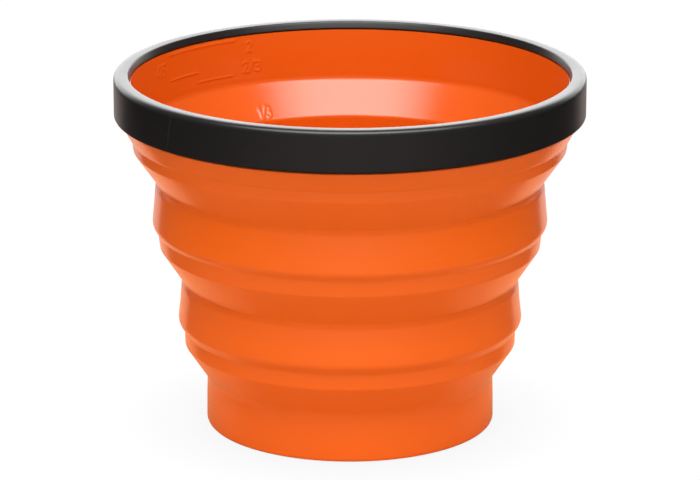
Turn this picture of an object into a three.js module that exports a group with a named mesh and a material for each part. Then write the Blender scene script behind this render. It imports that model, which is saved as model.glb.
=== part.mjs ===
// A collapsible travel cup: a soft silicone cup whose stepped wall folds into itself, with a stiff nylon rim snapped
// over its mouth.
//
// The cup stands on its base at the origin, with +Z up, in millimetres, and every piece is turned about the Z axis.
// The silicone is one moulding. Its thick bands stay stiff, and the thin webs between them turn inside out as the
// cup is pressed flat, so each band and each web is a mesh of its own here, with a small gap where they join.
import * as THREE from 'three';

// Driving dimensions
const CUP_HEIGHT = 88.2;
const RIM_RADIUS = 57.5;
const RIM_HEIGHT = 10.2;
const SEAM = 0.3; // gap left between neighbouring meshes
const WEB_WALL = 1.3; // thickness of a web, measured along the radius

const SIDES = 48; // flats round a turned piece
const ARC_STEPS = 3; // chords along one rounded corner

// The rim is a cap over the top of the silicone: a flat plate, and a deep skirt outside with a barb at its foot.
const rim = { bottom: CUP_HEIGHT - RIM_HEIGHT, plate: 1.8, skirt: 1.5, mouthRadius: 53.9, lipRadius: 53.5, edge: 1.1 };
const barb = { reach: 0.6, height: 1.2 };

// The stiff rings of the silicone wall, from the mouth down. A ring's web radius is where the web below leaves its
// bottom, and its top radius is where the web above meets it.
const collar = { bottom: 72.9, webRadius: 53.2, flareRadius: 56.8, mouthRadius: 53.2 };
const upperBand = { top: 62, topRadius: 47.3, flareRadius: 48.5, bottom: 49, webRadius: 47.1, inside: 45.4 };
const lowerBand = { top: 36.7, topRadius: 41.3, flareRadius: 42.4, bottom: 23.9, webRadius: 40.9, inside: 39.3 };
const base = { top: 12, topRadius: 35.3, footRadius: 35.6, wall: 1.8, floor: 2 };
const FLARE_HEIGHT = 3.4; // height of a band's widest place above its bottom
const WEB_NECK = 3.8; // length of the upright stretch at the top of each web

// The low ring under the base that the cup stands on.
const standRing = { height: 0.8, innerRadius: 29.3, outerRadius: 33.9, corner: 1.6 };
const FLOOR_FILLET = 2.4;

const silicone = new THREE.MeshStandardMaterial({ color: 0xf0601c, roughness: 0.45, metalness: 0 });
const nylon = new THREE.MeshStandardMaterial({ color: 0x232120, roughness: 0.38, metalness: 0 });

// Turns a section about the Z axis. Its points are [radius, height], anticlockwise with the radius to the right.
function turned(name, material, section) {
  const points = section.map(([radius, height]) => new THREE.Vector2(radius, height));
  const startsOnAxis = points[0].x === 0;
  if (!startsOnAxis) {
    points.push(points[0].clone());
  }
  const mesh = new THREE.Mesh(new THREE.LatheGeometry(points, SIDES), material);
  mesh.name = name;
  mesh.rotation.x = Math.PI / 2;
  return mesh;
}

function curvePoints(curve, steps) {
  return curve.getPoints(steps).map((point) => [point.x, point.y]);
}

// A rounded corner from one point to another, drawn towards the corner point.
function rounded(from, corner, to) {
  const [start, middle, end] = [from, corner, to].map((point) => new THREE.Vector2(...point));
  return curvePoints(new THREE.QuadraticBezierCurve(start, middle, end), ARC_STEPS);
}

// The rim: the top plate and the skirt in one section, with the barb inside the skirt's foot.
function rimRing() {
  const plateBottom = CUP_HEIGHT - rim.plate;
  const skirtInside = RIM_RADIUS - rim.skirt;
  const footCorner = 0.4;
  return turned('rim_ring', nylon, [
    [rim.lipRadius, plateBottom],
    [skirtInside, plateBottom],
    [skirtInside, rim.bottom + 2 * barb.height],
    [skirtInside - barb.reach, rim.bottom + barb.height],
    [skirtInside - barb.reach, rim.bottom],
    [RIM_RADIUS - footCorner, rim.bottom],
    [RIM_RADIUS, rim.bottom + footCorner],
    ...rounded([RIM_RADIUS, CUP_HEIGHT - rim.edge], [RIM_RADIUS, CUP_HEIGHT], [RIM_RADIUS - rim.edge, CUP_HEIGHT]),
    [rim.mouthRadius, CUP_HEIGHT],
  ]);
}

// The collar: the top of the silicone wall. It flares out to a ledge under the skirt, and a thick bead above the
// ledge fills the rim, with a groove for the barb.
function siliconeCollar() {
  const foot = collar.bottom + SEAM / 2;
  const ledge = rim.bottom - SEAM;
  const top = CUP_HEIGHT - rim.plate - SEAM;
  const bead = RIM_RADIUS - rim.skirt - SEAM;
  const corner = 0.5;
  return turned('silicone_collar', silicone, [
    [collar.webRadius - WEB_WALL, foot],
    [collar.webRadius, foot],
    [collar.flareRadius, ledge - corner],
    [collar.flareRadius, ledge],
    [bead - barb.reach, ledge],
    [bead - barb.reach, rim.bottom + barb.height + SEAM / 2],
    [bead, rim.bottom + 2 * barb.height + SEAM / 2],
    [bead, top],
    [collar.mouthRadius + corner, top],
    [collar.mouthRadius, top - corner],
  ]);
}

// A web between two rings: it hangs upright from the upper one, turns a corner and leans in to the lower one.
function foldWeb(name, upper, lower) {
  const start = [upper.webRadius, upper.bottom - SEAM / 2];
  const corner = [upper.webRadius - 0.2, upper.bottom - WEB_NECK];
  const end = [lower.topRadius, lower.top + SEAM / 2];
  const cornerSize = 0.25; // share of the leaning stretch that the rounded corner takes
  const intoLean = [0, 1].map((axis) => THREE.MathUtils.lerp(corner[axis], end[axis], cornerSize));
  const outside = [start, ...rounded([corner[0], corner[1] + 1], corner, intoLean), end];
  const inside = outside.map(([radius, height]) => [radius - WEB_WALL, height]);
  return turned(name, silicone, [...outside.reverse(), ...inside]);
}

// A stiff band: it flares out to its widest near the foot, then rounds in to where the web below starts.
function wallBand(name, band) {
  const top = band.top - SEAM / 2;
  const bottom = band.bottom + SEAM / 2;
  const widest = band.bottom + FLARE_HEIGHT;
  return turned(name, silicone, [
    [band.webRadius - WEB_WALL, bottom],
    ...rounded([band.webRadius, bottom], [band.flareRadius, bottom], [band.flareRadius, widest]),
    [band.topRadius, top],
    [band.inside, top],
  ]);
}

// The base: the floor, the ring it stands on and the bottom of the wall.
function baseCup() {
  const inside = base.topRadius - base.wall;
  const floorTop = standRing.height + base.floor;
  const recessRadius = standRing.innerRadius - standRing.height;
  return turned('base_cup', silicone, [
    [0, standRing.height],
    [recessRadius, standRing.height],
    [standRing.innerRadius, 0],
    ...rounded([standRing.outerRadius, 0], [base.footRadius, 0], [base.footRadius, standRing.corner]),
    [base.topRadius, base.top - SEAM / 2],
    [inside, base.top - SEAM / 2],
    ...rounded([inside, floorTop + FLOOR_FILLET], [inside, floorTop], [inside - FLOOR_FILLET, floorTop]),
    [0, floorTop],
  ]);
}

const cup = new THREE.Group();
cup.add(
  rimRing(),
  siliconeCollar(),
  foldWeb('upper_fold_web', collar, upperBand),
  wallBand('upper_wall_band', upperBand),
  foldWeb('middle_fold_web', upperBand, lowerBand),
  wallBand('lower_wall_band', lowerBand),
  foldWeb('lower_fold_web', lowerBand, base),
  baseCup(),
);

export default cup;
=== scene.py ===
import math

import bmesh
import bpy
import numpy as np
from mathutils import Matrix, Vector


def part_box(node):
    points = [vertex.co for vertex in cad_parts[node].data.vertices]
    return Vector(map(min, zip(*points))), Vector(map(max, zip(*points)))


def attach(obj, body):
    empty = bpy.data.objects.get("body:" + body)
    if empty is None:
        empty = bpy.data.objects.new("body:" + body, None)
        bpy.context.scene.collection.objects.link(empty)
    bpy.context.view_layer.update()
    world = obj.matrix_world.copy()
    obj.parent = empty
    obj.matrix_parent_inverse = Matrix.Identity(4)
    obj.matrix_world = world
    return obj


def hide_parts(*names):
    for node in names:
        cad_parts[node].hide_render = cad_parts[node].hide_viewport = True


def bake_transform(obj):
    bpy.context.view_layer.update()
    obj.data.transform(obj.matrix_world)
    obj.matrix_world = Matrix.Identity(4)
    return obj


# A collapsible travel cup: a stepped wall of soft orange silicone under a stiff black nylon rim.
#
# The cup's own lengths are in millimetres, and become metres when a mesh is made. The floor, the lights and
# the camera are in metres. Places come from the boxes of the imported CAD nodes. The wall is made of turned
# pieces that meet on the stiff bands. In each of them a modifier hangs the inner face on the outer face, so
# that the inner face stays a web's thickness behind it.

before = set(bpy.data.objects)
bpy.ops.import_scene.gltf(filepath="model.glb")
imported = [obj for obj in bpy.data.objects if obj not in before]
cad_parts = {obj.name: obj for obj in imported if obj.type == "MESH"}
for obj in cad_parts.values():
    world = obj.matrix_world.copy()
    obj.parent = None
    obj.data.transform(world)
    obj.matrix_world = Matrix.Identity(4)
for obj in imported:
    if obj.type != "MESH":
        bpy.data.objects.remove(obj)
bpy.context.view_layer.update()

MM = 0.001
NODE_GAP = 0.3  # between neighbouring CAD nodes
TOUCHING = 1e-6  # metres; points nearer than this are in one place

ROW_STEP = 0.33  # height of a row of faces in the wall
BEND_ROWS = 5  # rows along a rounded corner
SIDES = 192  # columns of faces round the silicone


def low(node):
    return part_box(node)[0].z / MM


def high(node):
    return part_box(node)[1].z / MM


def radius(node):
    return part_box(node)[1].x / MM


# Levels and radii of the CAD model

CUP_TOP = high("rim_ring")
RIM_BOTTOM = low("rim_ring")
RIM_RADIUS = radius("rim_ring")
NECK = low("silicone_collar") - NODE_GAP / 2
UPPER_TOP = high("upper_wall_band") + NODE_GAP / 2
UPPER_FOOT = low("upper_wall_band") - NODE_GAP / 2
UPPER_RADIUS = radius("upper_wall_band")
LOWER_TOP = high("lower_wall_band") + NODE_GAP / 2
LOWER_FOOT = low("lower_wall_band") - NODE_GAP / 2
LOWER_RADIUS = radius("lower_wall_band")
BASE_TOP = high("base_cup") + NODE_GAP / 2
BASE_RADIUS = radius("base_cup")

# Places that no box gives: the neck at the top of the upper fold, and the end of the silicone in the rim
NECK_RADIUS = UPPER_RADIUS + 4.85
SILICONE_TOP = CUP_TOP - 2.1

# The wall from the base up. Each station is a corner of the outer face and the corner of the inner face
# behind it, as (radius, height, how far from the corner its rounding starts). A fold starts at the cut in
# the ring below it. Then come the top of that ring (two stations on a band), the corner of the web, and the
# foot, the widest place and the cut of the ring above. The upper fold ends with the neck and its small bead,
# the flare under the rim and the top of the silicone.

BASE_CUT = ((BASE_RADIUS - 0.1, BASE_TOP / 2, 0), (BASE_RADIUS - 2.1, BASE_TOP / 2, 0))
LOWER_CUT = ((LOWER_RADIUS - 0.55, LOWER_TOP - 5.7, 0), (LOWER_RADIUS - 2.95, LOWER_TOP - 5.7, 0))
UPPER_CUT = ((UPPER_RADIUS - 0.5, UPPER_TOP - 6, 0), (UPPER_RADIUS - 2.8, UPPER_TOP - 6, 0))

LOWER_FOLD = [
    BASE_CUT,
    ((BASE_RADIUS - 0.25, BASE_TOP, 1), (BASE_RADIUS - 2.1, BASE_TOP + 1.6, 1)),
    ((LOWER_RADIUS - 1.6, LOWER_FOOT - 3.8, 0.25), (LOWER_RADIUS - 3.1, LOWER_FOOT - 2.2, 1)),
    ((LOWER_RADIUS - 1.5, LOWER_FOOT, 0.3), (LOWER_RADIUS - 2.9, LOWER_FOOT + 1, 0.8)),
    ((LOWER_RADIUS, LOWER_FOOT + 2.2, 0.8), (LOWER_RADIUS - 2.9, LOWER_FOOT + 3, 0.8)),
    LOWER_CUT,
]
MIDDLE_FOLD = [
    LOWER_CUT,
    ((LOWER_RADIUS - 0.85, LOWER_TOP - 1.4, 0.35), (LOWER_RADIUS - 3, LOWER_TOP - 1.2, 0.35)),
    ((LOWER_RADIUS - 1.3, LOWER_TOP - 0.1, 0.15), (LOWER_RADIUS - 3, LOWER_TOP + 1.6, 1)),
    ((UPPER_RADIUS - 1.75, UPPER_FOOT - 3.9, 0.2), (UPPER_RADIUS - 3.2, UPPER_FOOT - 2.2, 1)),
    ((UPPER_RADIUS - 1.3, UPPER_FOOT, 0.3), (UPPER_RADIUS - 2.9, UPPER_FOOT + 1, 0.8)),
    ((UPPER_RADIUS, UPPER_FOOT + 1.8, 0.8), (UPPER_RADIUS - 2.8, UPPER_FOOT + 3, 0.8)),
    UPPER_CUT,
]
UPPER_FOLD = [
    UPPER_CUT,
    ((UPPER_RADIUS - 0.85, UPPER_TOP - 1.7, 0.35), (UPPER_RADIUS - 2.75, UPPER_TOP - 1.5, 0.35)),
    ((UPPER_RADIUS - 1.3, UPPER_TOP - 0.4, 0.15), (UPPER_RADIUS - 2.6, UPPER_TOP + 3.2, 0.5)),
    ((NECK_RADIUS - 0.4, NECK - 3.1, 0.2), (NECK_RADIUS - 1.2, NECK + 0.85, 0.8)),
    ((NECK_RADIUS - 0.1, NECK - 0.5, 0.15), (NECK_RADIUS - 1.1, NECK + 2.4, 0.2)),
    ((NECK_RADIUS + 0.3, NECK, 0.2), (NECK_RADIUS - 1, NECK + 3.4, 0.4)),
    ((RIM_RADIUS - 1.3, RIM_BOTTOM - 0.5, 0.3), (NECK_RADIUS - 0.8, RIM_BOTTOM + 0.8, 0.2)),
    ((RIM_RADIUS - 2.2, RIM_BOTTOM - 0.1, 0.2), (NECK_RADIUS - 0.7, RIM_BOTTOM + 2, 0.6)),
    ((RIM_RADIUS - 2.1, SILICONE_TOP, 0), (NECK_RADIUS - 0.05, SILICONE_TOP, 0)),
]
RIGID_ABOVE = NECK - 0.8  # from here up the wall hardly bends, and on the cup it moves with the rim; its inner face hangs in one direction


# ---------------------------------------------------------------- turned shapes


def rounded_line(corners, straight_rows, closed=False):
    """Points along the line through corners (radius, height, reach), with so many rows on each straight."""
    count = len(corners)
    places = [np.array(corner[:2], float) for corner in corners]

    def towards(k, other):
        span = places[other % count] - places[k]
        return places[k] + span / np.linalg.norm(span) * corners[k][2]

    points = []
    for k in range(count):
        if corners[k][2] > 0:
            first, last = towards(k, k - 1), towards(k, k + 1)
            for t in np.linspace(0, 1, BEND_ROWS + 1):
                points.append(first * (1 - t) ** 2 + places[k] * 2 * t * (1 - t) + last * t ** 2)
        else:
            points.append(places[k])
        if k == count - 1 and not closed:
            break
        following = (k + 1) % count
        end = towards(following, k) if corners[following][2] > 0 else places[following]
        start = points[-1]
        for j in range(1, straight_rows[k]):
            points.append(start + (end - start) * j / straight_rows[k])
    return np.array(points)


def rows_between(corners, step, closed=False):
    """How many rows of about one step each straight of an outline takes."""
    ends = corners[1:] + corners[:1] if closed else corners[1:]
    return [max(1, round(math.dist(a[:2], b[:2]) / step)) for a, b in zip(corners, ends)]


def even_angles(count):
    return np.arange(count) * 2 * math.pi / count


def turned(name, line, angles, closed=False):
    """A mesh of a line turned about the Z axis. Angle 0 is the front, and 90 degrees is on +X."""
    rows, columns = len(line), len(angles)
    around = np.column_stack([np.sin(angles), -np.cos(angles)])
    flat = (line[:, 0, None, None] * around[None]).reshape(-1, 2)
    vertices = np.column_stack([flat, np.repeat(line[:, 1], columns)]) * MM
    faces = []
    for i in range(rows if closed else rows - 1):
        row, above = i * columns, (i + 1) % rows * columns
        for j in range(columns):
            across = (j + 1) % columns
            faces.append((row + j, row + across, above + across, above + j))
    mesh = bpy.data.meshes.new(name)
    mesh.from_pydata(vertices.tolist(), [], faces)
    mesh.shade_smooth()
    made = bpy.data.objects.new(name, mesh)
    bpy.context.scene.collection.objects.link(made)
    return made


def close_poles(made):
    """Joins the points that a turned section has on the axis."""
    work = bmesh.new()
    work.from_mesh(made.data)
    on_axis = [v for v in work.verts if math.hypot(v.co.x, v.co.y) < TOUCHING]
    bmesh.ops.remove_doubles(work, verts=on_axis, dist=TOUCHING)
    work.to_mesh(made.data)
    work.free()


# ---------------------------------------------------------------- nodes


def feed(socket, value):
    """Links another node's output to an input, or sets the input to a plain value."""
    if isinstance(value, bpy.types.NodeSocket):
        socket.id_data.links.new(value, socket)
    else:
        socket.default_value = value


def add_node(nodes, kind, inputs=None, **settings):
    node = nodes.new(kind)
    for key, value in settings.items():
        setattr(node, key, value)
    for key, value in (inputs or {}).items():
        feed(node.inputs[key], value)
    return node


def calculated(nodes, operation, *values):
    return add_node(nodes, "ShaderNodeMath", dict(enumerate(values)), operation=operation).outputs["Value"]


def ranged(nodes, value, span, low_result, high_result):
    """Maps a value within a span to between two results. Beyond the span it stays at one of them."""
    inputs = {
        "Value": value,
        "From Min": span[0],
        "From Max": span[1],
        "To Min": low_result,
        "To Max": high_result,
    }
    return add_node(nodes, "ShaderNodeMapRange", inputs).outputs["Result"]


def mixed(nodes, kind, share, first, second):
    inputs = {"Factor": share, "A": first, "B": second}
    return add_node(nodes, "ShaderNodeMix", inputs, data_type=kind).outputs["Result"]


def noise(nodes, place, scale, detail):
    inputs = {"Vector": place, "Scale": scale, "Detail": detail}
    return add_node(nodes, "ShaderNodeTexNoise", inputs).outputs["Fac"]


def bumped(nodes, relief, strength):
    inputs = {"Height": relief, "Strength": strength, "Distance": 0.1 * MM}
    return add_node(nodes, "ShaderNodeBump", inputs).outputs["Normal"]


def new_material(name):
    made = bpy.data.materials.new(name)
    made.use_nodes = True
    return made, made.node_tree.nodes, made.node_tree.nodes["Principled BSDF"].inputs


def silicone_material():
    """Soft satin silicone: an even colour with a faint moulded haze and a very fine grain."""
    made, nodes, shader = new_material("silicone")
    place = add_node(nodes, "ShaderNodeTexCoord").outputs["Object"]
    haze = noise(nodes, place, 45, 3)
    grain = noise(nodes, place, 2600, 2)
    feed(shader["Base Color"], mixed(nodes, "RGBA", haze, (0.71, 0.097, 0.001, 1), (0.74, 0.103, 0.001, 1)))
    feed(shader["Normal"], bumped(nodes, grain, 0.06))
    feed(shader["Roughness"], 0.2)
    feed(shader["IOR"], 1.4)
    feed(shader["Coat Weight"], 0.2)
    feed(shader["Coat Roughness"], 0.6)
    feed(shader["Coat IOR"], 1.4)
    return made


def nylon_material():
    """Black nylon with a fine even moulded grain and a gloss that varies a little."""
    made, nodes, shader = new_material("nylon")
    place = add_node(nodes, "ShaderNodeTexCoord").outputs["Object"]
    grain = noise(nodes, place, 3000, 3)
    cloud = noise(nodes, place, 70, 4)
    feed(shader["Base Color"], (0.0085, 0.0072, 0.007, 1))
    feed(shader["Normal"], bumped(nodes, grain, 0.12))
    feed(shader["Roughness"], ranged(nodes, cloud, (0, 1), 0.31, 0.41))
    feed(shader["IOR"], 1.52)
    return made


SILICONE = silicone_material()
NYLON = nylon_material()


def inner_face_tree():
    """The modifier that hangs the inner face of a wall on its outer face.

    A point of the inner face names the outer point it belongs to (partner), the outer point whose direction
    it follows (guide), and its place from the partner: so far behind the face, and so far up along it (hang).
    """
    tree = bpy.data.node_groups.new("inner_face", "GeometryNodeTree")
    tree.interface.new_socket("Geometry", in_out="INPUT", socket_type="NodeSocketGeometry")
    tree.interface.new_socket("Geometry", in_out="OUTPUT", socket_type="NodeSocketGeometry")
    nodes = tree.nodes
    source = add_node(nodes, "NodeGroupInput").outputs["Geometry"]

    def attribute(name, kind):
        node = add_node(nodes, "GeometryNodeInputNamedAttribute", {"Name": name}, data_type=kind)
        return node.outputs["Attribute"]

    def sampled(value, index):
        inputs = {"Geometry": source, "Value": value, "Index": index}
        node = add_node(nodes, "GeometryNodeSampleIndex", inputs, data_type="FLOAT_VECTOR", domain="POINT")
        return node.outputs["Value"]

    def vector(operation, *values):
        node = add_node(nodes, "ShaderNodeVectorMath", dict(enumerate(values)), operation=operation)
        return node.outputs["Vector"]

    def scaled(value, factor):
        node = add_node(nodes, "ShaderNodeVectorMath", {"Vector": value, "Scale": factor}, operation="SCALE")
        return node.outputs["Vector"]

    position = add_node(nodes, "GeometryNodeInputPosition").outputs["Position"]
    normal = add_node(nodes, "GeometryNodeInputNormal").outputs["Normal"]
    place = sampled(position, attribute("partner", "INT"))
    out = sampled(normal, attribute("guide", "INT"))
    away = vector("NORMALIZE", vector("MULTIPLY", place, (1, 1, 0)))
    around = vector("CROSS_PRODUCT", (0, 0, 1), away)
    along = vector("NORMALIZE", vector("CROSS_PRODUCT", out, around))
    hang = add_node(nodes, "ShaderNodeSeparateXYZ", {"Vector": attribute("hang", "FLOAT_VECTOR")})
    behind = vector("SUBTRACT", place, scaled(out, hang.outputs["X"]))
    moved = vector("ADD", behind, scaled(along, hang.outputs["Y"]))
    inputs = {"Geometry": source, "Selection": attribute("is_inner", "BOOLEAN"), "Position": moved}
    put = add_node(nodes, "GeometryNodeSetPosition", inputs)
    add_node(nodes, "NodeGroupOutput", {"Geometry": put.outputs["Geometry"]})
    return tree


INNER_FACE = inner_face_tree()


# ---------------------------------------------------------------- silicone


def set_attribute(mesh, name, kind, values):
    field = "vector" if kind == "FLOAT_VECTOR" else "value"
    mesh.attributes.new(name, kind, "POINT").data.foreach_set(field, values)


def outward(line):
    """Unit normals of a line that runs upwards, away from the axis."""
    steps = np.diff(line, axis=0)
    steps /= np.linalg.norm(steps, axis=1)[:, None]
    mean = np.vstack([steps[:1], steps[:-1] + steps[1:], steps[-1:]])
    mean /= np.linalg.norm(mean, axis=1)[:, None]
    return np.column_stack([mean[:, 1], -mean[:, 0]])


def wall_piece(name, stations, angles, raised=None, rigid_above=math.inf):
    """A stretch of the wall as one closed body: its outer face, and the inner face that hangs on it.

    The inner face may carry raised marks. Above a given height, where the wall hardly bends, all of it hangs
    in one direction.
    """
    outer_corners, inner_corners = [pair[0] for pair in stations], [pair[1] for pair in stations]
    rows_of_both = zip(rows_between(outer_corners, ROW_STEP), rows_between(inner_corners, ROW_STEP))
    straight_rows = [max(pair) for pair in rows_of_both]
    # both faces have as many points, since a station's corners are either both rounded or both sharp
    outer = rounded_line(outer_corners, straight_rows)
    inner = rounded_line(inner_corners, straight_rows)
    rows, columns = len(outer), len(angles)
    made = turned(name, np.vstack([outer, inner[::-1]]), angles, closed=True)

    guide_row = np.clip(np.arange(rows), 1, rows - 2)
    guide_row[outer[:, 1] > rigid_above] = rows - 2
    normals = outward(outer)[guide_row]
    alongs = np.column_stack([-normals[:, 1], normals[:, 0]])
    span = inner - outer
    depth = -(span * normals).sum(1)
    climb = (span * alongs).sum(1)
    lift = raised(inner[:, 1], angles) if raised else np.zeros((rows, columns))
    hang = np.zeros((2 * rows, columns, 3))
    hang[rows:, :, 0] = (depth[:, None] + lift)[::-1]
    hang[rows:, :, 1] = climb[::-1, None]
    row_of = np.concatenate([np.arange(rows), np.arange(rows)[::-1]])
    column_of = np.arange(columns)
    partner = row_of[:, None] * columns + column_of
    guide = guide_row[row_of][:, None] * columns + column_of
    is_inner = np.repeat(np.arange(2 * rows) >= rows, columns)
    set_attribute(made.data, "hang", "FLOAT_VECTOR", (hang * MM).ravel())
    set_attribute(made.data, "partner", "INT", partner.ravel())
    set_attribute(made.data, "guide", "INT", guide.ravel())
    set_attribute(made.data, "is_inner", "BOOLEAN", is_inner)
    ends = (0, rows - 1, rows, 2 * rows - 1)
    for edge in made.data.edges:
        first, second = (index // columns for index in edge.vertices)
        edge.use_edge_sharp = first == second and first in ends
    made.modifiers.new("inner_face", "NODES").node_group = INNER_FACE
    made.data.materials.append(SILICONE)
    return made


# ---------------------------------------------------------------- volume marks

MARK_WIDTH = 0.5
MARK_LIFT = 0.13
MARKED_FROM, MARKED_TO = 202, 251  # degrees round the wall, at the back left
MARKED_STEP = 0.33  # degrees
GLYPH_WIDTH = 0.55  # of its height

# Strokes of each glyph, as (across, up) from 0 to 1
GLYPHS = {
    "1": [[(0.2, 0.75), (0.6, 1), (0.6, 0)]],
    "2": [[(0, 0.78), (0.2, 0.96), (0.5, 1), (0.85, 0.92), (0.95, 0.7), (0.8, 0.5), (0, 0), (1, 0)]],
    "3": [[(0, 0.9), (0.5, 1), (0.9, 0.85), (0.85, 0.6), (0.4, 0.52)],
          [(0.4, 0.52), (0.9, 0.42), (1, 0.2), (0.7, 0.02), (0.3, 0), (0, 0.12)]],
    "4": [[(0.75, 0), (0.75, 1), (0, 0.3), (1, 0.3)]],
    "5": [[(0.95, 1), (0.15, 1), (0.1, 0.55), (0.6, 0.6), (1, 0.35), (0.8, 0.06), (0.4, 0), (0, 0.1)]],
    "7": [[(0, 1), (1, 1), (0.35, 0)]],
    "/": [[(0, -0.1), (1, 1.1)]],
}

# Each label, the degrees from the back round to the left, its foot, its height and its pitch in glyph widths
LABELS = [
    ("2", 29.8, 82.1, 2.6, 1.5),
    ("2/3", 31.3, 76.9, 2.6, 1.25),
    ("1/3", 29.6, 66, 2.3, 1.05),
    ("475", 65.8, 80.8, 2.8, 1.15),
]
# The tick of each scale and the line under the rim, from end to end
LINES = [
    [(47, 76.5), (35, 76.5)],
    [(58.7, 79), (47, 79)],
    [(58, 85.3), (33.4, 85.3)],
]


def glyph_strokes(text, back_angle, foot, height, pitch):
    """Strokes of a label on the wall, as points (degrees from the back towards the left, height)."""
    degrees = math.degrees(height * GLYPH_WIDTH / NECK_RADIUS)
    strokes = []
    for place, glyph in enumerate(text):
        start = back_angle - place * pitch * degrees
        for stroke in GLYPHS[glyph]:
            strokes.append([(start - x * degrees, foot + y * height) for x, y in stroke])
    return strokes


def mark_lift(heights, angles):
    """How far the marks stand out of the wall at each height and angle."""
    across = NECK_RADIUS * (angles - math.pi)[None, :]
    up = heights[:, None]
    nearest = np.full((len(heights), len(angles)), np.inf)
    strokes = LINES + [stroke for label in LABELS for stroke in glyph_strokes(*label)]
    for stroke in strokes:
        points = [(NECK_RADIUS * math.radians(angle), height) for angle, height in stroke]
        for (x, y), (end_x, end_y) in zip(points, points[1:]):
            run, rise = end_x - x, end_y - y
            share = np.clip(((across - x) * run + (up - y) * rise) / (run ** 2 + rise ** 2), 0, 1)
            nearest = np.minimum(nearest, np.hypot(across - x - share * run, up - y - share * rise))
    flat_top, foot = MARK_WIDTH / 4, MARK_WIDTH * 3 / 4
    inside = np.clip((foot - nearest) / (foot - flat_top), 0, 1)
    return MARK_LIFT * inside ** 2 * (3 - 2 * inside)


def marked_angles():
    """Even angles, with fine ones where the marks are."""
    coarse = np.degrees(even_angles(SIDES))
    plain = coarse[(coarse < MARKED_FROM) | (coarse > MARKED_TO)]
    fine = np.arange(MARKED_FROM, MARKED_TO, MARKED_STEP)
    return np.radians(np.sort(np.concatenate([plain, fine])))


# ---------------------------------------------------------------- silicone pieces


def base_piece():
    """The base up to its cut, with the ring that it stands on and the round corner of the floor inside."""
    recess, recess_radius, ring_inside = 0.8, 28, 29.3
    floor_top = 2.8
    row_length = 1
    (wall_radius, cut, _), (inner_radius, _, _) = BASE_CUT
    corners = [
        (0, recess, 0),
        (recess_radius, recess, 0.6),
        (ring_inside, 0, 0.4),
        (BASE_RADIUS - 0.05, 0, 1.1),
        (wall_radius, cut, 0),
        (inner_radius, cut, 0),
        (inner_radius, floor_top, 2.2),
        (0, floor_top, 0),
    ]
    line = rounded_line(corners, rows_between(corners, row_length))
    made = turned("silicone_base", line, even_angles(SIDES))
    close_poles(made)
    for edge in made.data.edges:
        ends = [made.data.vertices[index].co for index in edge.vertices]
        edge.use_edge_sharp = all(abs(end.z - cut * MM) < TOUCHING for end in ends)
    made.data.materials.append(SILICONE)
    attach(made, "base")
    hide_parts("base_cup")


base_piece()

lower_fold = wall_piece("silicone_lower_fold", LOWER_FOLD, even_angles(SIDES))
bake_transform(lower_fold)
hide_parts("lower_fold_web", "lower_wall_band")

middle_fold = wall_piece("silicone_middle_fold", MIDDLE_FOLD, even_angles(SIDES))
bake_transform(middle_fold)
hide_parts("middle_fold_web", "upper_wall_band")

upper_fold = wall_piece("silicone_upper_fold", UPPER_FOLD, marked_angles(), mark_lift, RIGID_ABOVE)
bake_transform(upper_fold)
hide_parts("upper_fold_web", "silicone_collar")


# ---------------------------------------------------------------- rim

RIM_SIDES = 256

# The mould seam up the rim's skirt. Its angles are in radians.
SEAM_ANGLE = math.radians(312.3)  # at the left of the front
SEAM_HALF_WIDTH = 0.007
SEAM_SLANT = 0.0035  # for each millimetre of height
SEAM_RISE = 0.2
SEAM_COLUMNS = 31
SEAM_REACH = 0.03  # how far the fine columns go on either side


def rim_angles():
    """Even angles, with fine ones across the mould seam."""
    fine = SEAM_ANGLE + np.linspace(-SEAM_REACH, SEAM_REACH, SEAM_COLUMNS)
    plain = [angle for angle in even_angles(RIM_SIDES) if abs(angle - SEAM_ANGLE) > SEAM_REACH + 0.001]
    return np.sort(np.concatenate([plain, fine]))


def raise_mould_seam(made):
    """Lifts a low slanting ridge out of the skirt."""
    middle = RIM_BOTTOM + 5
    for vertex in made.data.vertices:
        x, y, z = vertex.co / MM
        if math.hypot(x, y) > RIM_RADIUS - 0.1 and RIM_BOTTOM + 0.8 < z < CUP_TOP - 1:
            across = math.atan2(x, -y) - SEAM_ANGLE - SEAM_SLANT * (z - middle)
            off_seam = math.remainder(across, 2 * math.pi)
            rise = SEAM_RISE * max(0, 1 - (off_seam / SEAM_HALF_WIDTH) ** 2)
            vertex.co += Vector((x, y, 0)).normalized() * rise * MM


def rim_piece():
    """The rim: a plate over the silicone's top, and a skirt round it with a barb inside its foot."""
    skirt = RIM_RADIUS - 1.5
    plate_bottom = CUP_TOP - 1.8
    barb_reach, barb_height = 0.45, 1.2
    row_length = 0.6
    corners = [
        (RIM_RADIUS - 4.1, plate_bottom, 0.2),
        (skirt, plate_bottom, 0.2),
        (skirt, RIM_BOTTOM + 2 * barb_height, 0.2),
        (skirt - barb_reach, RIM_BOTTOM + barb_height, 0.2),
        (skirt - barb_reach, RIM_BOTTOM, 0.2),
        (RIM_RADIUS, RIM_BOTTOM, 0.45),
        (RIM_RADIUS, CUP_TOP - 0.02, 1.4),
        (RIM_RADIUS - 2.2, CUP_TOP, 0.5),
        (RIM_RADIUS - 3.45, CUP_TOP - 0.08, 0.3),
    ]
    line = rounded_line(corners, rows_between(corners, row_length, closed=True), closed=True)
    made = turned("rim_ring_moulded", line, rim_angles(), closed=True)
    raise_mould_seam(made)
    made.data.materials.append(NYLON)
    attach(made, "rim")
    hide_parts("rim_ring")


rim_piece()


# ---------------------------------------------------------------- stage

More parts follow.
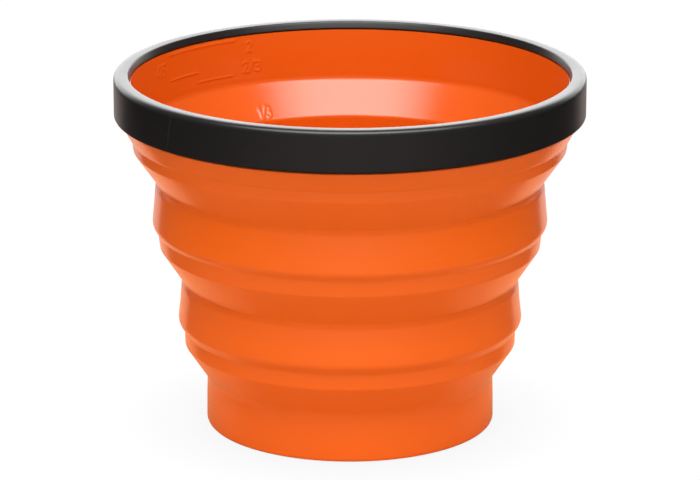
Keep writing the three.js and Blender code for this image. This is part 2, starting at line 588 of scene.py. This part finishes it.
# The floor, in metres from the middle of the cup. The camera is towards -Y.
FLOOR_RADIUS = 4
FLOOR_DROP = 0.0001  # keeps it clear of the cup's foot
SWEEP_EDGE = (0.23, 0.33)  # where the white sweep that the cup stands on fades out at each side
SWEEP_WHITE, BEYOND_SWEEP = 0.95, 0.04
SHADE_REACH = 0.03  # of the soft shade by the cup
SHADED_WHITE, OPEN_WHITE = 0.86, 1.02  # what the camera sees
WHITE = (1, 1, 1, 1)

# Painted light on the floor that only glossy surfaces see: bright, as if lit from behind, where
# y > max(WEDGE_SLOPE * |x| + WEDGE_SHIFT, WEDGE_FRONT), and dim in front, with a painted shadow by the cup.
WEDGE_SLOPE = 1.7
WEDGE_SHIFT = -0.113
WEDGE_FRONT = -0.022
WEDGE_SOFTNESS = 0.008
PAINTED_CUP_BOUNCE = (1, 0.42, 0.2, 1)  # painted orange light, as if bounced from the cup, on the floor that glossy surfaces mirror
PAINTED_CUP_BOUNCE_FADE = (0.08, 0.45)


def painted_mirrored_floor(nodes, side, depth, sweep):
    """Painted light and shade on the floor as glossy surfaces see it: bright in a wedge that opens behind the
    cup, else dim, darkest in a painted shadow by the cup.
    """
    # painted levels of the mirrored floor: dim by the camera, a painted shadow by the cup, lit behind the cup
    # and far back
    by_camera, painted_shadow_by_cup, behind_cup, far_back = 0.36, 0.08, 1.3, 0.8
    slant = calculated(nodes, "MULTIPLY_ADD", side, WEDGE_SLOPE, WEDGE_SHIFT)
    border = calculated(nodes, "MAXIMUM", slant, WEDGE_FRONT)
    past_border = calculated(nodes, "SUBTRACT", depth, border)
    dim = calculated(nodes, "MULTIPLY", ranged(nodes, depth, (-0.3, -0.1), by_camera, painted_shadow_by_cup), sweep)
    bright = ranged(nodes, depth, (0.15, 0.3), behind_cup, far_back)
    return ranged(nodes, past_border, (-WEDGE_SOFTNESS, WEDGE_SOFTNESS), dim, bright)


def floor_material():
    """The floor: plain white to the camera, with a faint painted shade by the cup.

    Only the white sweep throws much light back. Glossy surfaces see painted light and shade on the floor, and
    painted orange light near the cup, as if bounced from it.
    """
    made, nodes, shader = new_material("floor")
    made.cycles.emission_sampling = "NONE"
    place = add_node(nodes, "ShaderNodeTexCoord").outputs["Object"]
    split = add_node(nodes, "ShaderNodeSeparateXYZ", {"Vector": place}).outputs
    side = calculated(nodes, "ABSOLUTE", split["X"])
    sweep = ranged(nodes, side, SWEEP_EDGE, SWEEP_WHITE, BEYOND_SWEEP)
    feed(shader["Base Color"], sweep)
    feed(shader["Roughness"], 1)
    feed(shader["Specular IOR Level"], 0)

    ray = add_node(nodes, "ShaderNodeLightPath").outputs
    # painted shade: the floor's glow, for the camera and for glossy surfaces, is darker where ambient
    # occlusion finds the cup near
    shade = add_node(nodes, "ShaderNodeAmbientOcclusion", {"Distance": SHADE_REACH}).outputs["AO"]
    seen = ranged(nodes, shade, (0, 1), SHADED_WHITE, OPEN_WHITE)
    mirrored = calculated(nodes, "MULTIPLY", painted_mirrored_floor(nodes, side, split["Y"], sweep), shade)
    strength = mixed(nodes, "FLOAT", ray["Is Glossy Ray"], seen, mirrored)
    distance = add_node(nodes, "ShaderNodeVectorMath", {0: place}, operation="LENGTH").outputs["Value"]
    # painted orange light near the cup, as if bounced from it, in the floor that glossy surfaces see
    tint = mixed(nodes, "RGBA", ranged(nodes, distance, PAINTED_CUP_BOUNCE_FADE, 0, 1), PAINTED_CUP_BOUNCE, WHITE)
    colour = mixed(nodes, "RGBA", ray["Is Glossy Ray"], WHITE, tint)
    glow = add_node(nodes, "ShaderNodeEmission", {"Strength": strength, "Color": colour}).outputs["Emission"]

    looked_at = calculated(nodes, "MAXIMUM", ray["Is Camera Ray"], ray["Is Glossy Ray"])
    plain = nodes["Principled BSDF"].outputs["BSDF"]
    pick = add_node(nodes, "ShaderNodeMixShader", {"Fac": looked_at, 1: plain, 2: glow})
    feed(nodes["Material Output"].inputs["Surface"], pick.outputs["Shader"])
    return made


def floor_piece():
    bpy.ops.mesh.primitive_circle_add(
        vertices=96, radius=FLOOR_RADIUS, fill_type="NGON", location=(0, 0, -FLOOR_DROP)
    )
    floor = bpy.context.object
    floor.name = "floor"
    floor.data.materials.append(floor_material())


def world_light():
    """White behind the cup, and dim to its sides and over the camera. The camera itself sees plain white."""
    behind_strength, room_strength, mirrored_room_strength = 3.8, 0.46, 0.12
    world = bpy.data.worlds.new("studio")
    bpy.context.scene.world = world
    world.use_nodes = True
    nodes = world.node_tree.nodes
    direction = add_node(nodes, "ShaderNodeTexCoord").outputs["Generated"]
    split = add_node(nodes, "ShaderNodeSeparateXYZ", {"Vector": direction}).outputs
    ray = add_node(nodes, "ShaderNodeLightPath").outputs
    room = ranged(nodes, ray["Is Glossy Ray"], (0, 1), room_strength, mirrored_room_strength)
    light = ranged(nodes, split["Y"], (0.6, 0.9), room, behind_strength)
    background = nodes["Background"].inputs
    feed(background["Strength"], mixed(nodes, "FLOAT", ray["Is Camera Ray"], light, 1.0))
    feed(background["Color"], WHITE)


def soft_box(name, width, height, radiance, only_mirrored=False):
    """A soft box over the front of the cup."""
    place, aim = Vector((0, -0.58, 0.97)), Vector((0, 0, 0.05))
    light = bpy.data.lights.new(name, "AREA")
    light.shape = "RECTANGLE"
    light.size = width
    light.size_y = height
    light.energy = radiance * math.pi * width * height
    made = bpy.data.objects.new(name, light)
    made.location = place
    made.rotation_mode = "QUATERNION"
    made.rotation_quaternion = (aim - place).to_track_quat("-Z", "Y")
    made.visible_diffuse = not only_mirrored
    bpy.context.scene.collection.objects.link(made)


def camera():
    """A long lens that looks down at the cup from the front."""
    tilt_down = 16.271
    lens = bpy.data.cameras.new("camera")
    lens.sensor_width = 36
    lens.lens = 202.6
    lens.clip_end = 20
    made = bpy.data.objects.new("camera", lens)
    made.location = (0, -0.9309, 0.3172)
    made.rotation_euler = (math.radians(90 - tilt_down), 0, 0)
    bpy.context.scene.collection.objects.link(made)
    bpy.context.scene.camera = made


floor_piece()
world_light()
soft_box("front_softbox", 1.7, 0.5, 6.15)
soft_box("front_softbox_gleam", 1.05, 0.45, 11, only_mirrored=True)
camera()
bpy.context.scene.view_settings.view_transform = "Standard"
